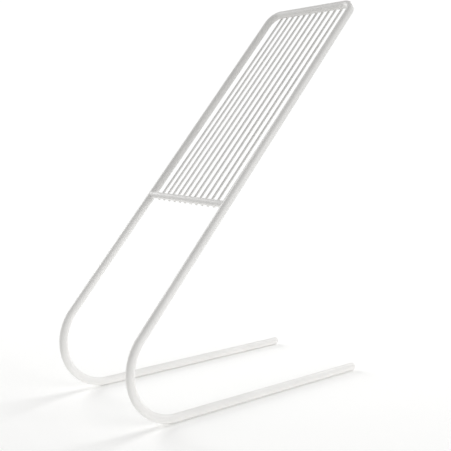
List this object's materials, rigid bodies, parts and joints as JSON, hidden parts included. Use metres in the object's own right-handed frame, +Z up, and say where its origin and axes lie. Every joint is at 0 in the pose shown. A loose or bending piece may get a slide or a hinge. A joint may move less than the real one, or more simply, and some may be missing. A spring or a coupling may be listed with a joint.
{
  "type": "magazine rack",
  "caption": "Free-standing magazine rack: a bent steel rod frame with J-shaped sides carries a sloping grid of thin wires that open magazines hang over.",
  "frame": {"origin": "on the floor, in the middle of the base and half way between the two sides", "axes": "+X along the feet towards their free ends, +Y across from the near side to the far side, +Z up"},
  "size_m": [0.3549, 0.1626, 0.49],
  "materials": {
    "white_powder_coat": "satin powder coat on steel"
  },
  "bodies": {
    "root": {"frame_rod": "white_powder_coat", "cross_bar": "white_powder_coat", "grid_wire_1": "white_powder_coat", "grid_wire_2": "white_powder_coat", "grid_wire_3": "white_powder_coat", "grid_wire_4": "white_powder_coat", "grid_wire_5": "white_powder_coat", "grid_wire_6": "white_powder_coat", "grid_wire_7": "white_powder_coat", "grid_wire_8": "white_powder_coat", "grid_wire_9": "white_powder_coat", "grid_wire_10": "white_powder_coat", "grid_wire_11": "white_powder_coat", "grid_wire_12": "white_powder_coat", "cross_bar_welds": "white_powder_coat", "upper_wire_welds": "white_powder_coat", "lower_wire_welds": "white_powder_coat"}
  },
  "joints": []
}
